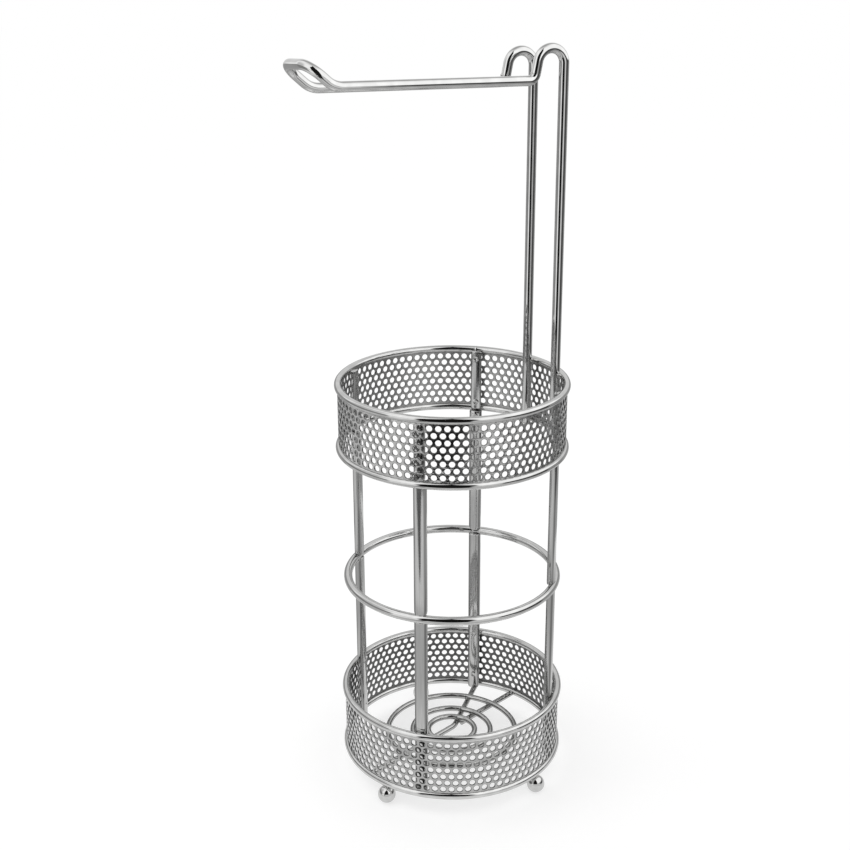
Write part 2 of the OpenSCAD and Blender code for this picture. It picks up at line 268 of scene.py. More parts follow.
class Maker:
    """Makes the nodes of one material or world."""

    def __init__(self, owner):
        owner.use_nodes = True
        self.tree = owner.node_tree
        self.tree.nodes.clear()

    def add(self, kind, settings=None, inputs=None, output=0):
        """One output of a node of that kind, with its settings and its sockets' values or links."""
        node = self.tree.nodes.new(kind)
        for name, setting in (settings or {}).items():
            setattr(node, name, setting)
        for name, value in (inputs or {}).items():
            if isinstance(value, Value):
                self.tree.links.new(value.socket, node.inputs[name])
            else:
                node.inputs[name].default_value = value
        return Value(self, node.outputs[output]) if len(node.outputs) else node

    def place(self):
        """Where a point of the surface lies in the frame."""
        return self.add("ShaderNodeTexCoord", output="Object")

    def parts(self, vector):
        split = self.add("ShaderNodeSeparateXYZ", None, {"Vector": vector}, "X")
        return split, split.out("Y"), split.out("Z")

    def round_axis(self):
        """Where a point lies round the axis, out from it and up, all in metres."""
        x, y, z = self.parts(self.place())
        return y.angle_of(x) * RIM_R, (x * x + y * y) ** 0.5, z

    def bearing(self, start_az):
        """Degrees round the axis from start_az, -180 to 180, metres from the axis, and height."""
        x, y, z = self.parts(self.place())
        ahead = x * cos(start_az) + y * sin(start_az)
        aside = y * cos(start_az) - x * sin(start_az)
        return aside.angle_of(ahead) * degrees(1), (x * x + y * y) ** 0.5, z

    def joined(self, *parts):
        return self.add("ShaderNodeCombineXYZ", None, dict(zip("XYZ", parts)))

    def stretched(self, vector, scale):
        return self.add("ShaderNodeVectorMath", {"operation": "MULTIPLY"}, {0: vector, 1: scale})

    def speckle(self, scale, detail=2.0, roughness=0.5, spot=None):
        return self.add("ShaderNodeTexNoise", None, {
            "Vector": spot or self.place(), "Scale": scale, "Detail": detail,
            "Roughness": roughness})

    def blend(self, factor, first, second):
        """Colour between first and second."""
        return self.add("ShaderNodeMix", {"data_type": "RGBA"}, {0: factor, 6: first, 7: second}, 2)

    def clouded(self, factor, tint, dark, bright):
        """Tint between its dark and its bright strength."""
        return self.blend(factor, solid(tint, dark), solid(tint, bright))

    def mark(self):
        """The mesh's edge marks, which set where shade is painted: 1 on an edge and 0 on a face."""
        return self.add("ShaderNodeAttribute", {"attribute_name": "edge"}, output="Fac")

    def metal(self, base, roughness, height, mm):
        """Bare metal, where a height of 1 stands that many millimetres."""
        normal = self.add("ShaderNodeBump", None, {
            "Height": height, "Distance": mm * MM, "Strength": 1.0}, "Normal")
        self.finish(self.add("ShaderNodeBsdfPrincipled", None, {
            "Base Color": base, "Metallic": 1.0, "Roughness": roughness, "Normal": normal}))

    def light(self, shade):
        """A surface that only gives off light of that colour or grey."""
        return self.add("ShaderNodeEmission", None, {"Color": shade})

    def finish(self, shader, kind="ShaderNodeOutputMaterial"):
        self.add(kind, None, {"Surface": shader})


def solid(rgb, gain=1.0):
    return tuple(min(1.0, c * gain) for c in rgb) + (1.0,)


def new_finish(name, make, *settings):
    """A new material, which make fills with its nodes."""
    mat = bpy.data.materials.new(name)
    make(Maker(mat), *settings)
    return mat


def drawn_wire(m, tint, is_ring):
    """Polished wire with faint draw lines along it and a slow waviness."""
    across, along = 1600, 40
    spot = (m.stretched(m.joined(*m.round_axis()), (along, across, across)) if is_ring
            else m.stretched(m.place(), (across, across, along)))
    lines = m.speckle(1.0, spot=spot)
    cloud = m.speckle(140, 3.0)
    wave = m.speckle(75, 1.0)
    base = m.clouded(cloud.rise(0.35, 0.7), tint, 0.93, 1.04)
    m.metal(base, 0.014 + lines * 0.014 + cloud * 0.012, wave + lines * 0.012, 0.06)


def brushed_bar(m, tint):
    """Drawn flat bar with fine upright streaks under a thin plating, with painted shade darkening
    its edges.
    """
    streaks = m.speckle(1.0, 3.0, 0.6, m.stretched(m.place(), (2600, 2600, 55)))
    broad = m.speckle(1.0, spot=m.stretched(m.place(), (700, 700, 14)))
    cloud = m.speckle(90, 3.0)
    base = m.clouded(streaks.rise(0.3, 0.72), tint, 0.86, 1.06)
    # painted shade on the bar's rounded edges and narrow sides
    base = m.blend(m.mark() * 0.85, base, solid(tint, 0.2))
    m.metal(base, 0.065 + broad * 0.04 + cloud * 0.02,
            streaks * 0.25 + broad * 0.5 + cloud, 0.03)


def punched_sheet(m, tint):
    """Sheet crumpled a little by punching and rolling, satin and duller inside, with painted shade
    at its hole edges, on its inner side and low on the lower band.
    """
    along, radius, height = m.round_axis()
    ripple = m.speckle(210, 2.0, 0.55)
    slow = m.speckle(70, 1.0)
    crease = m.speckle(520)
    fine = m.speckle(1500, spot=m.joined(along, radius, height))
    inner_side = 1 - (radius - RIM_R).rise(-0.3 * MM, 0.3 * MM)
    lower_band = 1 - height.rise(0.1, 0.2)
    # painted shade: darker on the inner side and on the lower band, darkest inside the lower band
    shade = lower_band * 0.28 + inner_side * (lower_band * 0.38 + 0.22)
    base = m.clouded(ripple.rise(0.3, 0.7), tint, 0.86, 1.06)
    # painted shade round the hole edges
    base = m.blend(m.mark().rise(0.7, 1.0) * 0.8, base, solid(tint, 0.2))
    base = m.blend(shade, base, solid(tint, 0.2))
    m.metal(base, 0.06 + fine * 0.05 + ripple * 0.03 + inner_side * 0.22,
            ripple + slow * 1.6 + crease * 0.3, 0.24)


def polished_ball(m, tint):
    """Mirror-bright ball with the faintest polishing haze."""
    haze = m.speckle(420, 3.0)
    slow = m.speckle(90, 1.0)
    base = m.clouded(haze.rise(0.35, 0.7), tint, 0.96, 1.03)
    m.metal(base, 0.02 + haze * 0.04, slow, 0.08)


def weld_metal(m, tint):
    """Plated weld bead: lumpy and a little duller, with painted shade darkening its hollows and
    painted light brightening its lumps.
    """
    lumps = m.speckle(900, 3.0, 0.6)
    # painted shade in the hollows and painted light on the lumps
    base = m.clouded(lumps.rise(0.3, 0.7), tint, 0.7, 1.3)
    m.metal(base, 0.07 + lumps * 0.14, lumps, 0.2)


FINISHES = {
    "polished_ring": (drawn_wire, "ring", True),
    "polished_rod": (drawn_wire, "wire", False),
    "floor_ring": (drawn_wire, "grid", True),
    "floor_stay": (drawn_wire, "grid", False),
    "brushed_bar": (brushed_bar, "bar"),
    "punched_sheet": (punched_sheet, "sheet"),
    "polished_ball": (polished_ball, "ball"),
    "weld_metal": (weld_metal, "weld"),
}


def finish_of(name):
    """The material of that name, made once."""
    make, tint, *settings = FINISHES[name]
    return bpy.data.materials.get(name) or new_finish(
        name, make, getattr(bpy.context.scene.holder_finish, tint), *settings)


# ---- meshes ----

def smooth_object(name, verts, faces, material):
    mesh = bpy.data.meshes.new(name)
    mesh.from_pydata([tuple(v) for v in verts], [], [tuple(f) for f in faces])
    mesh.validate()
    mesh.shade_smooth()
    mesh.materials.append(material)
    obj = bpy.data.objects.new(name, mesh)
    bpy.context.scene.collection.objects.link(obj)
    return obj


def piece(name, shape, finish, replaced=(), sharp=35):
    """A finished piece in place, smooth but for its sharp edges.

    Its shape is verts and faces, and after them its edge marks, which set where shade is painted,
    if it has any."""
    verts, faces, *marks = shape
    obj = smooth_object(name, verts, faces, finish_of(finish))
    if marks:
        obj.data.attributes.new("edge", "FLOAT", "POINT").data.foreach_set("value", marks[0])
    obj.data.set_sharp_from_angle(angle=radians(sharp))
    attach(obj, BODY)
    if replaced:
        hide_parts(*replaced)


def skin(rows, sides, closed=False):
    """Quads between rows of points, each row closed on itself."""
    return [(i * sides + k, i * sides + (k + 1) % sides,
             (i + 1) % rows * sides + (k + 1) % sides, (i + 1) % rows * sides + k)
            for i in range(rows if closed else rows - 1) for k in range(sides)]


def caps(rows, sides):
    """The faces that close the two ends of a skin."""
    return [tuple(reversed(range(sides))), tuple(range((rows - 1) * sides, rows * sides))]


def around(az, radius, z):
    return Vector((radius * cos(az), radius * sin(az), z))


def outward(az):
    return around(az, 1, 0)


def sideways(az):
    return Vector((-sin(az), cos(az), 0))


def arc(centre, first, second, radius, start, end, steps):
    """Points on an arc, where first and second are the directions of angles 0 and 90 degrees."""
    return [centre + radius * (first * cos(a) + second * sin(a))
            for a in np.linspace(start, end, steps + 1)]


def run(start, end, step):
    """Points along a straight run, both ends included."""
    steps = max(1, round((end - start).length / step))
    return [start.lerp(end, i / steps) for i in range(steps + 1)]


def path(*stretches):
    """Stretches end to end, with the points that they share written once."""
    points = []
    for p in sum(stretches, []):
        if not points or (p - points[-1]).length > 1e-7:
            points.append(p)
    return points


def tube(points, radii, sides, up, closed=False):
    """Round wire along points. Its section is carried along without twist."""
    line = np.array([tuple(p) for p in points])
    radii = np.broadcast_to(np.asarray(radii, float), len(line))
    heading = (np.roll(line, -1, axis=0) - np.roll(line, 1, axis=0) if closed
               else np.gradient(line, axis=0))
    heading /= np.linalg.norm(heading, axis=1)[:, None]
    side = np.array(tuple(up), float)
    turns = np.arange(sides) * 2 * pi / sides
    verts = []
    for point, ahead, radius in zip(line, heading, radii):
        side = side - ahead * (side @ ahead)
        side /= np.linalg.norm(side)
        other = np.cross(ahead, side)
        verts.extend(point + radius * (np.outer(np.cos(turns), side)
                                       + np.outer(np.sin(turns), other)))
    faces = skin(len(line), sides, closed)
    return verts, faces if closed else faces + caps(len(line), sides)


def rounded_start(points, radii, edge):
    """Points and radii of a wire whose first end has a rounded edge."""
    start = points[0]
    into = (points[1] - start).normalized()
    kept = [i for i in range(1, len(points)) if (points[i] - start).length > edge * 1.2]
    angles = np.linspace(0, QUARTER, 4)
    heads = [start + into * edge * (1 - cos(a)) for a in angles]
    growth = [radii[0] - edge * (1 - sin(a)) for a in angles]
    return heads + [points[i] for i in kept], growth + [radii[i] for i in kept]


def rounded_ends(points, wire_r, edge):
    """Points and radii of a wire whose two ends have rounded edges."""
    points, radii = rounded_start(points, [wire_r] * len(points), edge)
    points, radii = rounded_start(points[::-1], radii[::-1], edge)
    return points[::-1], radii[::-1]


def ring_mesh(radius, wire, z, sizes, seam=1.0):
    """Closed ring of wire with a dressed weld seam, whose swell is taken seam times."""
    step = sizes.seam_len / radius / 4
    angles = [a for a in 2 * pi * np.arange(sizes.steps) / sizes.steps
              if abs(a - sizes.seam_az) > 7 * step]
    angles = sorted(angles + [sizes.seam_az + k * step for k in range(-6, 7)])
    radii = [wire / 2 + sizes.seam_swell * seam * exp(-((a - sizes.seam_az) / step / 2) ** 2)
             for a in angles]
    return tube([around(a, radius, z) for a in angles], radii, sizes.sides, UP, closed=True)


def on_cylinder(radius, a, z):
    return np.stack([radius * np.cos(a), radius * np.sin(a), np.broadcast_to(z, a.shape)], 1)


def band_mesh(z_low, height, sizes):
    """Perforated band: a cell of sheet round every hole, staggered from row to row."""
    count = sizes.segments
    across = count // 4
    pitch_a = 2 * pi / sizes.columns
    hole_r = sizes.hole / 2
    first_z = sizes.margin + hole_r
    pitch_z = (height - 2 * first_z) / (sizes.rows - 1)
    half = np.array([pitch_a * RIM_R, pitch_z]) / 2
    outer_r, inner_r = RIM_R + sizes.sheet / 2, RIM_R - sizes.sheet / 2
    # border of a cell, counterclockwise from its lower right corner
    walk, one = np.linspace(-1, 1, across + 1)[:-1], np.ones(across)
    border = half * np.concatenate([np.stack(side, 1) for side in (
        (one, walk), (-walk, one), (-one, -walk), (walk, -one))])
    turns = np.arange(count) * 2 * pi / count - pi / 4
    circle = np.stack([np.cos(turns), np.sin(turns)], 1)
    # loops of points round a hole: where they lie, how deep in the sheet, and their edge mark,
    # which sets the painted shade at the hole's edge
    loops = [(border, 0.0, 0.0), (circle * (hole_r + sizes.edge), 0.0, 1.0),
             (circle * hole_r, sizes.edge, 1.0)]
    layers = ([(flat, outer_r - depth, mark) for flat, depth, mark in loops]
              + [(flat, inner_r + depth, mark) for flat, depth, mark in reversed(loops)])
    verts, marks = [], []
    for row in range(sizes.rows):
        for column in range(sizes.columns):
            centre_a = (column + row % 2 / 2) * pitch_a
            centre_z = z_low + first_z + row * pitch_z
            for flat, radius, mark in layers:
                verts.append(on_cylinder(radius, centre_a + flat[:, 0] / RIM_R,
                                         centre_z + flat[:, 1]))
                marks.append(np.full(count, mark))
    verts, marks = np.concatenate(verts), np.concatenate(marks)
    starts = np.arange(sizes.rows * sizes.columns) * len(layers) * count
    faces = (np.array(skin(len(layers), count)) + starts[:, None, None]).reshape(-1, 4)
    # plain edges above and below the holes, closed round the rim
    columns = sizes.columns * across
    for z_in, z_out, row in (
            (z_low + first_z - half[1], z_low, 0),
            (z_low + height - first_z + half[1], z_low + height, sizes.rows - 1)):
        a = (np.arange(columns) / across - 0.5) * pitch_a + row % 2 / 2 * pitch_a
        quads = np.array(skin(4, columns)) + len(verts)
        verts = np.concatenate([verts] + [on_cylinder(radius, a, z) for radius, z in (
            (outer_r, z_in), (outer_r, z_out), (inner_r, z_out), (inner_r, z_in))])
        faces = np.concatenate([faces, quads[:, ::-1] if row == 0 else quads])
    marks = np.concatenate([marks, np.zeros(len(verts) - len(marks))])
    # cells share their border points
    keys = np.round(verts / 1e-7).astype(np.int64)
    _, first, same = np.unique(keys, axis=0, return_index=True, return_inverse=True)
    return verts[first], same.reshape(-1)[faces], marks[first]


def bar_section(half, corner, crown):
    """Points of a bar's crowned section, x outwards and y across, counterclockwise."""
    corners = []
    for i, signs in enumerate(((1, 1), (-1, 1), (-1, -1), (1, -1))):
        turns = np.linspace(0, QUARTER, 7) + i * QUARTER
        corners.append(signs * (half - corner)
                       + corner * np.stack([np.cos(turns), np.sin(turns)], 1))
    points = []
    for here, ahead, steps in zip(corners, corners[1:] + corners[:1], (4, 14, 4, 14)):
        points += [here, np.linspace(here[-1], ahead[0], steps + 1)[1:-1]]
    points = np.concatenate(points)
    points[:, 0] *= 1 - crown / half[0] * (points[:, 1] / half[1]) ** 2
    return points


def bar_levels(z_low, z_high, sizes, dimples):
    """Heights of a bar's sections: closer at its ends, up its taper and over its dimples."""
    ends = sizes.end_edge * (1 - np.cos(np.linspace(0, QUARTER, 5)))
    narrowing = sizes.taper_len * (1 - np.cos(np.linspace(0.3, QUARTER, 12)))
    stations = [np.arange(z_low + 1.5 * MM, z_high - 1.5 * MM, 2.0 * MM),
                z_low + ends, z_high - ends, z_low + narrowing]
    stations += [z + np.linspace(-1, 1, 17) * DIMPLE_REACH * sizes.dimple_r for z in dimples]
    levels = []
    for z in sorted(np.concatenate(stations)):
        if z_low <= z <= z_high and (not levels or z - levels[-1] > 0.04 * MM):
            levels.append(z)
    return levels


def stand_in(gap, reach):
    """Share by which a rounded end stands in, at gap from its tip: 1 there, 0 past reach."""
    rest = np.clip(1 - gap / reach, 0, 1)
    return 1 - sqrt(1 - rest ** 2)


def bar_mesh(node, az, stock, sizes, dimples):
    """Flat bar standing against the inside of the rings, its lower end rounded.

    Stock is its width, thickness and corner, and how much each side of its lower end narrows.
    Dimples are the heights of the spot welds on its inner face."""
    width, thickness, corner, taper = stock
    z_low, z_high = low(node).z, high(node).z
    half = np.array([thickness, width]) / 2
    section = bar_section(half, corner, sizes.crown)
    # edge marks for the painted shade: a little on the narrow sides, most on the rounded corners
    past = np.clip((abs(section) - half) / corner + 1, 0, 1)
    marks = np.clip(0.15 * (past[:, 1] > 0) + 2 * past[:, 0] * past[:, 1], 0, 1)
    levels = bar_levels(z_low, z_high, sizes, dimples)
    verts = []
    for z in levels:
        inset = sizes.end_edge * stand_in(min(z - z_low, z_high - z), sizes.end_edge)
        narrow = inset + taper * stand_in(z - z_low, sizes.taper_len)
        x, y = (section * (1 - np.array([inset, narrow]) / half)).T
        for spot_z in dimples:
            reach = np.hypot(y, z - spot_z) / sizes.dimple_r
            pit = np.exp(-(reach * 1.25) ** 2) - 0.32 * np.exp(-((reach - 1.25) * 3.2) ** 2)
            x = x + sizes.dimple_depth * pit * (x < 0) * (reach < DIMPLE_REACH)
        out = RIM_INNER_R - half[0] + x
        verts.extend(zip(out * cos(az) - y * sin(az),
                         out * sin(az) + y * cos(az), np.full(len(x), z)))
    rows, sides = len(levels), len(section)
    return verts, skin(rows, sides) + caps(rows, sides), np.tile(marks, rows)


def ball_mesh(node, steps):
    """Ball on a small flat."""
    sides, radius = steps * 2, BALL_D / 2
    centre = middle(node)
    centre.z = high(node).z - radius
    lowest = asin((low(node).z - centre.z) / radius)
    verts = [centre + around(2 * pi * k / sides, radius * cos(a), radius * sin(a))
             for a in np.linspace(lowest, QUARTER, steps + 1)[:-1] for k in range(sides)]
    top, last = len(verts), len(verts) - sides
    fan = [(last + k, last + (k + 1) % sides, top) for k in range(sides)]
    return verts + [centre + UP * radius], skin(steps, sides) + fan + caps(steps, sides)[:1]


def bead_mesh(centre, along, across, size, seed):
    """Weld bead: a lumpy pillow. Its size is its half length, half width and half height."""
    lumps = 0.16
    bm = bmesh.new()
    bmesh.ops.create_icosphere(bm, subdivisions=3, radius=1.0)
    along, across = along.normalized(), across.normalized()
    third = along.cross(across).normalized()
    offset = Vector((seed * 7.3, seed * 3.1, seed * 1.7))
    verts = []
    for v in bm.verts:
        swell = (1 + lumps * noise.noise(v.co * 1.6 + offset)
                 + lumps / 2 * noise.noise(v.co * 4.1 + offset))
        spot = v.co * swell
        verts.append(centre + along * spot.x * size[0] + across * spot.y * size[1]
                     + third * spot.z * size[2])
    faces = [tuple(v.index for v in f.verts) for f in bm.faces]
    bm.free()
    return verts, faces


# ---- routes of the bent wires ----

class Hanger:
    """Places along the hanger, in its own plan: u along the arm, v across it."""

    def __init__(self, sizes):
        self.s = sizes
        self.along = outward(sizes.az + pi)
        self.across = sideways(sizes.az + pi)
        self.half = sizes.spacing / 2
        rod_r = RIM_INNER_R - sizes.wire / 2
        self.rod_u = -sqrt(rod_r ** 2 - self.half ** 2)
        self.near_z = high("near_hook_rod").z - sizes.arch_r - sizes.wire / 2
        self.bottom_z = low("near_hook_rod").z
        self.foot_turn = QUARTER - sizes.leg_lean + sizes.arm_slope

    def arch_z(self, side):
        return self.near_z if side > 0 else self.near_z - self.s.far_drop

    def point(self, u, side, z):
        return self.along * (self.rod_u + u) + self.across * side * self.half + UP * z

    def leg(self):
        """Top and end of the front leg, as (u, height above the arch centre)."""
        s = self.s
        lean_cos, lean_sin = cos(s.leg_lean), sin(s.leg_lean)
        top = (s.arch_r * (1 + lean_cos), s.arch_r * lean_sin)
        to_corner = (top[1] + s.foot_depth) / lean_cos
        leg_len = to_corner - s.foot_bend_r * tan(self.foot_turn / 2)
        return top, (top[0] + lean_sin * leg_len, top[1] - lean_cos * leg_len)

    def rod_path(self, side):
        s = self.s
        z = self.arch_z(side)
        top, end = self.leg()
        return path(
            run(self.point(0, side, self.bottom_z), self.point(0, side, z), 4 * MM),
            arc(self.point(s.arch_r, side, z), self.along, UP, s.arch_r, pi, s.leg_lean, 36),
            run(self.point(top[0], side, z + top[1]), self.point(end[0], side, z + end[1]),
                2 * MM))

    def side_path(self, side, tip_len):
        """One side of the arm, from the foot bend to the end of the tip."""
        s = self.s
        end_u, end_z = self.leg()[1]
        foot = self.point(end_u + cos(s.leg_lean) * s.foot_bend_r, side,
                          self.arch_z(side) + end_z + sin(s.leg_lean) * s.foot_bend_r)
        arm = self.along * cos(s.arm_slope) + UP * sin(s.arm_slope)
        lift = UP * cos(s.arm_slope) - self.along * sin(s.arm_slope)
        start = foot - lift * s.foot_bend_r
        arm_end = start + arm * (s.arm_len - s.foot_bend_r * tan(self.foot_turn / 2))
        rise = s.arm_slope + s.tip_turn
        tip = self.along * cos(rise) + UP * sin(rise)
        bend = arc(arm_end + lift * s.tip_bend_r, arm, -lift, s.tip_bend_r, QUARTER,
                   QUARTER - s.tip_turn, 18)
        return path(
            arc(foot, self.along, UP, s.foot_bend_r, pi + s.leg_lean,
                3 * QUARTER + s.arm_slope, 20),
            run(start, arm_end, 3 * MM), bend, run(bend[-1], bend[-1] + tip * tip_len, 2 * MM))

    def arm_path(self):
        """The whole arm, from the near foot round the end loop to the far foot."""
        s = self.s
        trim = s.far_drop * sin(s.arm_slope + s.tip_turn) / 2
        near = self.side_path(1, s.tip_len - trim)
        far = self.side_path(-1, s.tip_len + trim)
        over = (near[-1] - far[-1]).normalized()
        tip = (near[-1] - near[-2]).normalized()
        tip = (tip - over * tip.dot(over)).normalized()
        r = s.loop_corner_r
        near_corner = arc(near[-1] - over * r, over, tip, r, 0, QUARTER, 16)
        far_corner = arc(far[-1] + over * r, -over, tip, r, QUARTER, 0, 16)
        return path(near, near_corner, run(near_corner[-1], far_corner[0], 2 * MM), far_corner,
                    far[::-1])


def bent_stay_path(grid, bar):
    start = around(grid.bent_start_az, RIM_INNER_R - bar.thickness, STAY_Z)
    end = around(grid.bent_end_az, RIM_INNER_R, STAY_Z)
    corner = Vector((grid.bend_x, grid.bend_y, STAY_Z))
    ahead, away = (corner - start).normalized(), (end - corner).normalized()
    turned = ahead.angle(away)
    tangent = grid.bend_r * tan(turned / 2)
    inward = (away - ahead).normalized()
    centre = corner + inward * grid.bend_r / cos(turned / 2)
    bend = arc(centre, -inward, (ahead + away).normalized(), grid.bend_r,
               -turned / 2, turned / 2, 12)
    return path(run(start, corner - ahead * tangent, 2 * MM), bend,
                run(corner + away * tangent, end, 2 * MM))


def short_stay_path(grid):
    start = around(grid.short_start_az, RIM_INNER_R, STAY_Z)
    end = around(grid.short_end_az, ring_of("inner_floor_ring")[0], STAY_Z)
    return run(start, end, 2 * MM)


def uprights(bar):
    return {side: getattr(bar, side + "_az") for side in ("front", "right", "back", "left")}


# ---- operators ----

class HOLDER_OT_rings(bpy.types.Operator):
    """Rims and base rings of both baskets, and the waist ring"""
    bl_idname = "holder.rings"
    bl_label = "Rings"

    def execute(self, context):
        for node in RINGS:
            shape = ring_mesh(*ring_of(node), context.scene.holder_rings)
            piece(node + "_wire", shape, "polished_ring", (node,))
        return {"FINISHED"}


class HOLDER_OT_bands(bpy.types.Operator):
    """Perforated bands of both baskets"""
    bl_idname = "holder.bands"
    bl_label = "Perforated bands"

    def execute(self, context):
        for node in ("upper_band", "lower_band"):
            shape = band_mesh(low(node).z, extent(node).z, context.scene.holder_band)
            piece(node + "_sheet", shape, "punched_sheet", (node,))
        return {"FINISHED"}


class HOLDER_OT_bars(bpy.types.Operator):
    """Straps, middle bars and lower bars of the four uprights"""
    bl_idname = "holder.bars"
    bl_label = "Uprights"

    def execute(self, context):
        s = context.scene.holder_bars
        bar = (s.width, s.thickness, s.corner)
        thin = (s.strap_width, s.strap_thickness, s.strap_corner)
        for side, az in uprights(s).items():
            strap, mid, lower = side + "_strap", side + "_middle_bar", side + "_lower_bar"
            for node, stock, dimples in (
                    (strap, (*thin, s.slight_taper),
                     (high(strap).z - s.strap_dimple, low(strap).z + s.strap_dimple)),
                    (mid, (*bar, s.taper_in), (high(mid).z - s.middle_dimple,)),
                    (lower, (*bar, s.slight_taper),
                     (LOWER_RIM_Z + s.rim_dimple, LOWER_BASE_Z + s.base_dimple))):
                shape = bar_mesh(node, az, stock, s, dimples)
                piece(node + "_flat", shape, "brushed_bar", (node,))
        return {"FINISHED"}


class HOLDER_OT_hanger(bpy.types.Operator):
    """Two hook rods and the arm with its end loop"""
    bl_idname = "holder.hanger"
    bl_label = "Hanger"

    def execute(self, context):
        s = context.scene.holder_hanger
        hanger, wires = Hanger(s), {}
        for side, node in ((1, "near_hook_rod"), (-1, "far_hook_rod")):
            route = hanger.rod_path(side)
            wires[node] = rounded_start(route, [s.wire / 2] * len(route), s.leg_edge)
        wires["roll_arm"] = (hanger.arm_path(), s.wire / 2)
        for node, (points, radii) in wires.items():
            shape = tube(points, radii, 32, hanger.across)
            piece(node + "_wire", shape, "polished_rod", (node,))
        return {"FINISHED"}


class HOLDER_OT_floor_grid(bpy.types.Operator):
    """Floor rings and stays of the lower basket"""
    bl_idname = "holder.floor_grid"
    bl_label = "Floor grid"

    def execute(self, context):
        rings, grid = context.scene.holder_rings, context.scene.holder_grid
        for node in FLOOR_RINGS:
            shape = ring_mesh(*ring_of(node), rings, rings.floor_swell)
            piece(node + "_wire", shape, "floor_ring", (node,))
        for node, route in (("bent_stay", bent_stay_path(grid, context.scene.holder_bars)),
                            ("short_stay", short_stay_path(grid))):
            points, radii = rounded_ends(route, GRID_WIRE / 2, grid.end_edge)
            shape = tube(points, radii, 24, UP)
            piece(node + "_wire", shape, "floor_stay", (node,))
        return {"FINISHED"}


class HOLDER_OT_feet(bpy.types.Operator):
    """Three ball feet"""
    bl_idname = "holder.feet"
    bl_label = "Ball feet"

    def execute(self, context):
        for node in FEET:
            shape = ball_mesh(node, context.scene.holder_feet.steps)
            piece(node + "_ball", shape, "polished_ball", (node,))
        return {"FINISHED"}


class HOLDER_OT_welds(bpy.types.Operator):
    """Weld beads where wires, bars, balls and rods meet"""
    bl_idname = "holder.welds"
    bl_label = "Weld beads"

    def execute(self, context):
        scene = context.scene
        self.make("basket_welds", self.basket_beads(scene.holder_bars))
        self.make("waist_welds", self.waist_beads(scene.holder_bars))
        self.make("hanger_welds", self.hanger_beads(scene.holder_hanger))
        self.make("floor_welds", self.floor_beads(scene.holder_grid, scene.holder_bars))
        self.make("foot_welds", self.foot_beads(scene.holder_feet))
        return {"FINISHED"}

    def make(self, name, beads):
        """One piece of all those beads, each given as centre, along, across and size."""
        verts, faces = [], []
        for seed, bead in enumerate(beads, 1):
            more_verts, more_faces = bead_mesh(*bead, seed)
            faces += [tuple(k + len(verts) for k in face) for face in more_faces]
            verts += more_verts
        piece(name, (verts, faces), "weld_metal", sharp=180)

    def basket_beads(self, bar):
        for az in uprights(bar).values():
            yield (around(az, RIM_INNER_R - 0.1 * MM, UPPER_RIM_Z - 2.2 * MM), sideways(az), UP,
                   (bar.strap_width * 0.42, 0.9 * MM, 0.9 * MM))
            for z in (UPPER_BASE_Z + 0.5 * MM, LOWER_BASE_Z + 0.5 * MM):
                yield (around(az, RIM_INNER_R - 0.2 * MM, z), sideways(az), UP,
                       (bar.width * 0.36, 1.3 * MM, 1.3 * MM))
            for edge in (-1, 1):
                spot = around(az, RIM_INNER_R, LOWER_RIM_Z) + sideways(az) * edge * bar.width * 0.47
                yield spot, UP, outward(az), (1.5 * MM, 0.8 * MM, 0.8 * MM)

    def waist_beads(self, bar):
        radius = RIM_INNER_R - bar.thickness / 2 + 0.6 * MM
        for az in uprights(bar).values():
            for above in (-1, 1):
                yield (around(az, radius, WAIST_Z + above * WAIST_WIRE / 2), sideways(az),
                       outward(az), (bar.width * 0.42, 2.3 * MM, 0.6 * MM))

    def hanger_beads(self, sizes):
        hanger = Hanger(sizes)
        wire_r = sizes.wire / 2
        end = hanger.leg()[1]
        for side in (1, -1):
            inner = hanger.point(end[0], side, hanger.arch_z(side) + end[1])
            yield (inner + hanger.along * wire_r * 0.9, hanger.across, UP,
                   (wire_r * 0.62, 1.0 * MM, 0.8 * MM))
            rod = hanger.point(0, side, 0)
            az = atan2(rod.y, rod.x)
            for z in (UPPER_RIM_Z, UPPER_BASE_Z):
                for edge in (-1, 1):
                    spot = around(az, RIM_INNER_R - 0.3 * MM, z) + sideways(az) * edge * 1.7 * MM
                    yield spot, UP, outward(az), (1.7 * MM, 0.9 * MM, 0.9 * MM)

    def floor_beads(self, grid, bar):
        for route in (bent_stay_path(grid, bar), short_stay_path(grid)):
            for radius in [ring_of(node)[0] for node in FLOOR_RINGS]:
                for a, b in zip(route, route[1:]):
                    inside, outside = a.xy.length - radius, b.xy.length - radius
                    if inside * outside < 0:
                        spot = a.lerp(b, inside / (inside - outside)) + UP * GRID_WIRE / 2
                        yield spot, b - a, (b - a).cross(UP), (1.1 * MM, 1.1 * MM, 0.3 * MM)
            for end, near in ((route[0], route[1]), (route[-1], route[-2])):
                if end.xy.length > RIM_INNER_R - bar.thickness * 1.1:
                    yield end, end - near, UP, (0.5 * MM, GRID_WIRE / 2, GRID_WIRE / 2)

    def foot_beads(self, feet):
        for node in FEET:
            spot = middle(node)
            spot.z = high(node).z
            yield (spot, Vector((1, 0, 0)), Vector((0, 1, 0)),
                   (feet.neck, feet.neck, 0.55 * MM))


# ---- studio ----
# Angles are in degrees from the camera's side, heights in degrees from the table or in metres,
# and lights in shares of white.

PLAIN_WALL = 0.40
# where each card of the low walls starts and ends, and its light over the plain wall's
WALL_CARDS = {
    "left_side": (-115, -60, -0.08),
    "left_card": (-60, -31, 0.72),
    "dark_gap": (-31, 18, -0.385),
    "right_card": (18, 47, 0.45),
    "right_side": (47, 100, -0.31),
}


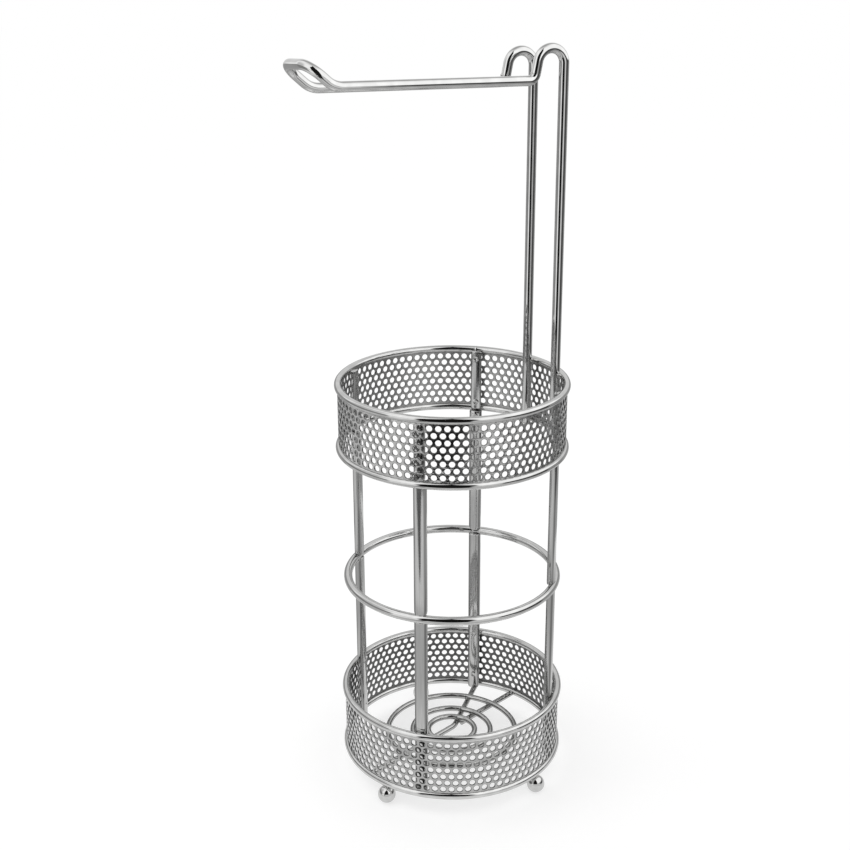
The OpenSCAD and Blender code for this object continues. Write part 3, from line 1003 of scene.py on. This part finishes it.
def stage_surface(name, profile, material, lit, mirrored):
    """Part of the studio, an outline of (radius, height) turned round the axis.

    It is lit and seen as a floor is, mirrored in the metal, or both."""
    steps = 96
    verts = [around(2 * pi * k / steps, r, z) for r, z in profile for k in range(steps)]
    obj = smooth_object(name, verts, skin(len(profile), steps), material)
    material.cycles.emission_sampling = "NONE"
    obj.visible_camera = obj.visible_diffuse = obj.visible_shadow = lit
    obj.visible_glossy = obj.visible_transmission = mirrored


def walls(offset):
    """Light of the low walls round the table."""
    light = PLAIN_WALL
    for start, end, more in WALL_CARDS.values():
        light += offset.between(start, end) * more
    return light


def pale_floor(m, studio):
    """White floor that keeps the object's shadow: part lit, and part its own light.

    Its own light fades outwards in reflections."""
    lit = 0.42
    rays = m.add("ShaderNodeLightPath", output="Is Camera Ray")
    fade = 1 - m.round_axis()[1].rise(0.09, 0.27) * 0.8
    mirrored = rays.out("Is Glossy Ray").at_least(rays.out("Is Transmission Ray"))
    seen = rays.at_least(mirrored * fade)
    diffuse = m.add("ShaderNodeBsdfDiffuse", None,
                    {"Color": solid(studio.surround, lit / studio.soft_light)})
    own = m.light(m.blend(seen * (1 - lit), (0, 0, 0, 1), solid(studio.surround)))
    m.finish(m.add("ShaderNodeAddShader", None, {0: diffuse, 1: own}))


def studio_ground(m, camera_az):
    """Ground beyond the table: dark close by but for a pale side, then pale but for the gap.

    Furthest out it is like the walls."""
    offset, level, _ = m.bearing(camera_az)
    blot = 1 - (abs(offset + 29) - (level - 0.36) * 48).rise(-2, 2)
    left = offset.between(-66, -16) + offset.between(-120, -66) * level.rise(0.50, 0.54)
    behind = abs(offset).rise(112, 128)
    front = (1 - left) * (1 - behind) * (1 - level.rise(0.56, 0.63))
    close = 0.13 + left * (0.70 - blot * 0.70) + behind * 0.29 + front * 0.42
    gap = (offset + 23).rise(-3, 3) * (1 - (offset - 17).rise(-13, 13))
    pale = 0.74 - gap * 0.72 - offset.between(67, 130, 8) * 0.42 - behind * 0.2
    out = level.rise(0.69, 0.76)
    far = level.rise(0.86, 1.0)
    m.finish(m.light(close * (1 - out) + out * (pale * (1 - far) + walls(offset) * far)))


def tent_lip(m, camera_az):
    """Pale lip at the table's edge: high towards the camera and low elsewhere."""
    offset, _, z = m.bearing(camera_az)
    top = 0.03 + 0.085 * offset.between(-24, 60)
    clear = (z - top).rise(-0.001, 0.001)
    m.finish(m.add("ShaderNodeMixShader", None, {
        0: clear, 1: m.light(solid((0.82, 0.82, 0.82))), 2: m.add("ShaderNodeBsdfTransparent")}))


def light_dome(m, camera_az):
    """Softboxes left and right, a pale back, a dark gap towards the camera and a grey top."""
    offset, level, z = m.bearing(camera_az)
    height = z.angle_of(level) * degrees(1)
    reach = 1 - height.rise(50, 88)
    # the gap reaches 24 degrees right and 34 left, and closes towards the top
    gap = (1 - (offset - reach * 24).rise(-3, 3)) * (offset + reach * 34).rise(-3, 3)
    above_edge = (height - 24).rise(-2, 2)
    low_wall = 1 - (height - 22).rise(-4, 4)
    overhead = height.rise(64, 88)
    back = abs(offset).rise(118, 132)
    left = 1 - offset.rise(-10, 10)
    box = 1.46 - left * (0.1 + offset.between(-115, -70, 10) * (1 - height.rise(40, 70)) * 0.6)
    sides = box * above_edge * (1 - overhead) + 0.8 * overhead
    behind = 0.86 - 0.34 * height.rise(50, 70)
    above = ((sides * (1 - back) + behind * back) * (1 - gap)).at_least(0.012)
    m.finish(m.light(above * (1 - low_wall) + walls(offset) * low_wall))


class HOLDER_OT_studio(bpy.types.Operator):
    """Pale floor, light tent, plain soft light and the photograph's camera"""
    bl_idname = "holder.studio"
    bl_label = "Studio"

    camera_place = (0.25941, -0.84178, 0.58439)
    camera_heading = 18.337
    camera_dip = 20.150
    camera_roll = -0.3165
    camera_lens = 57.905
    sensor = 36.0
    key_place = (-0.95, -0.35, 1.25)
    key_aim = (0, 0, 0.1)
    apron_r = 8.0

    def execute(self, context):
        scene, studio = context.scene, context.scene.holder_studio
        self.add_camera(scene)
        self.add_light(scene, studio)
        self.add_floor_and_tent(studio)
        scene.view_settings.view_transform = "Standard"
        return {"FINISHED"}

    def add_camera(self, scene):
        data = bpy.data.cameras.new("camera")
        data.lens = self.camera_lens
        data.sensor_width = self.sensor
        camera = bpy.data.objects.new("camera", data)
        camera.matrix_world = (
            Matrix.Translation(self.camera_place)
            @ Matrix.Rotation(radians(self.camera_heading), 4, "Z")
            @ Matrix.Rotation(radians(90 - self.camera_dip), 4, "X")
            @ Matrix.Rotation(radians(self.camera_roll), 4, "Z"))
        scene.collection.objects.link(camera)
        scene.camera = camera

    def add_light(self, scene, studio):
        world = bpy.data.worlds.new("soft_light")
        scene.world = world
        m = Maker(world)
        rays = m.add("ShaderNodeLightPath", output="Is Camera Ray")
        seen = (rays + rays.out("Is Glossy Ray") + rays.out("Is Transmission Ray")).at_most(1.0)
        strength = seen + (1 - seen) * studio.soft_light
        m.finish(m.add("ShaderNodeBackground", None, {
            "Color": solid(studio.surround), "Strength": strength}), "ShaderNodeOutputWorld")
        lamp = bpy.data.lights.new("key_softbox", "AREA")
        lamp.shape = "RECTANGLE"
        lamp.size, lamp.size_y = 0.9, 0.7
        lamp.energy = 3.0
        key = bpy.data.objects.new("key_softbox", lamp)
        key.location = self.key_place
        aim = Vector(self.key_aim) - key.location
        key.rotation_euler = aim.to_track_quat("-Z", "Y").to_euler()
        key.visible_glossy = key.visible_camera = False
        scene.collection.objects.link(key)

    def add_floor_and_tent(self, studio):
        table_r, dome_r = studio.table_r, studio.dome_r
        floor = new_finish("pale_floor", pale_floor, studio)
        stage_surface("floor_table", [(0.5 * MM, 0), (0.1, 0), (table_r, 0)], floor, True, True)
        stage_surface("floor_apron", [(table_r, 0), (1.0, 0), (self.apron_r, 0)], floor, True,
                      False)
        camera_az = atan2(self.camera_place[1], self.camera_place[0])
        rises = np.linspace(-0.01, QUARTER - 0.001, 40)
        dome = [(dome_r * cos(a), dome_r * sin(a)) for a in rises]
        for name, make, profile in (
                ("studio_ground", studio_ground, [(table_r, -MM), (dome_r, -MM)]),
                ("tent_lip", tent_lip, [(table_r, 0), (table_r, studio.lip_h)]),
                ("light_dome", light_dome, dome)):
            stage_surface(name, profile, new_finish(name, make, camera_az), False, True)


STEPS = (HOLDER_OT_studio, HOLDER_OT_rings, HOLDER_OT_bands, HOLDER_OT_bars, HOLDER_OT_hanger,
         HOLDER_OT_floor_grid, HOLDER_OT_feet, HOLDER_OT_welds)
SETTINGS = {"holder_rings": RingSizes, "holder_band": BandSizes, "holder_bars": BarSizes,
            "holder_hanger": HangerSizes, "holder_grid": GridSizes, "holder_feet": FootSizes,
            "holder_finish": FinishColours, "holder_studio": StudioSettings}


class HOLDER_PT_panel(bpy.types.Panel):
    """Steps and sizes of the roll holder"""
    bl_idname = "HOLDER_PT_panel"
    bl_label = "Roll holder"
    bl_space_type = "VIEW_3D"
    bl_region_type = "UI"
    bl_category = "Roll holder"

    def draw(self, context):
        for step in STEPS:
            self.layout.operator(step.bl_idname)
        for name, group in SETTINGS.items():
            box = self.layout.box()
            box.label(text=group.__doc__)
            for key in group.__annotations__:
                box.prop(getattr(context.scene, name), key)


CLASSES = tuple(SETTINGS.values()) + STEPS + (HOLDER_PT_panel,)


def register():
    for cls in CLASSES:
        bpy.utils.register_class(cls)
    for name, group in SETTINGS.items():
        setattr(bpy.types.Scene, name, PointerProperty(type=group))


def unregister():
    for name in SETTINGS:
        delattr(bpy.types.Scene, name)
    for cls in reversed(CLASSES):
        bpy.utils.unregister_class(cls)


def main():
    register()
    for step in STEPS:
        group, action = step.bl_idname.split(".")
        getattr(getattr(bpy.ops, group), action)()


if __name__ == "__main__":
    main()
